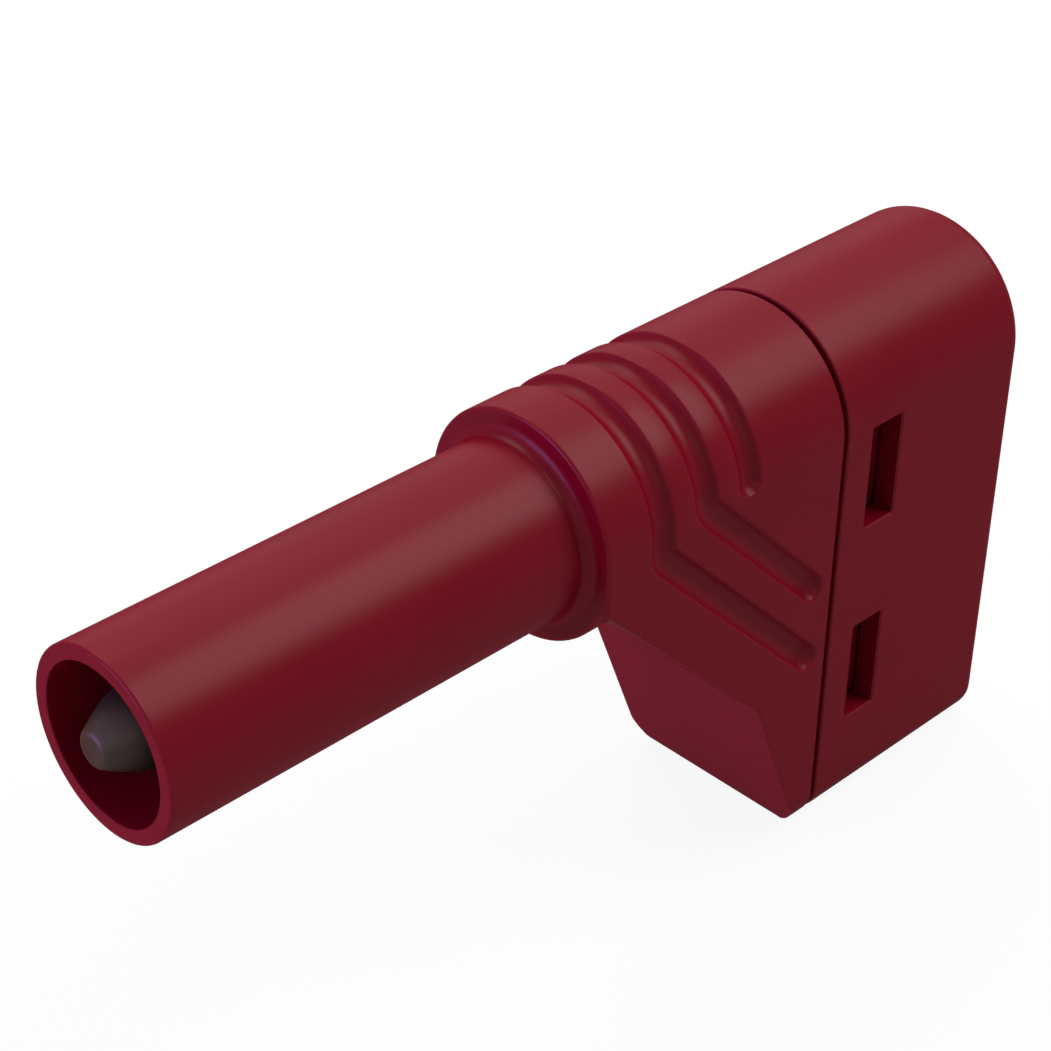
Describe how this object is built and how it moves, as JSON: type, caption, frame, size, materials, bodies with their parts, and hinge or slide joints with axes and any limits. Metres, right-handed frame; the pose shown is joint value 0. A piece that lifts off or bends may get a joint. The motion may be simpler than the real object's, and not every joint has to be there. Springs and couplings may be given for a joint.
{
  "type": "banana plug",
  "caption": "Right-angle 4 mm banana plug with a rigid round sheath, grooved grip, latched rear cover, cable inlet below and an inner screw terminal.",
  "frame": {"origin": "on the plug's axis, in the plane of the collar's front face, which stops against the socket", "axes": "-X along the pin, out of the plug; +X to the rear cover; -Z to the cable inlet; Y across the grip"},
  "size_m": [0.0534, 0.0114, 0.0286],
  "materials": {
    "red_moulding": "deep red polyamide moulding, fine satin",
    "nickel_plated_brass": "turned brass, bright nickel plating",
    "spring_bronze": "rolled spring bronze, thin nickel flash",
    "zinc_plated_steel": "zinc plated, bright"
  },
  "bodies": {
    "plug_body": {"front_housing": "red_moulding", "contact_pin": "nickel_plated_brass", "contact_cage": "spring_bronze"},
    "rear_cover": {"rear_cover": "red_moulding"},
    "clamp_screw": {"clamp_screw": "zinc_plated_steel"}
  },
  "joints": [
    {"name": "cover_slide", "type": "slide", "parent": "plug_body", "child": "rear_cover", "axis": [1, 0, 0], "range_m": [0, 0.028]},
    {"name": "screw_clamp", "type": "slide", "parent": "plug_body", "child": "clamp_screw", "axis": [-1, 0, 0], "range_m": [0, 0.0028]}
  ]
}
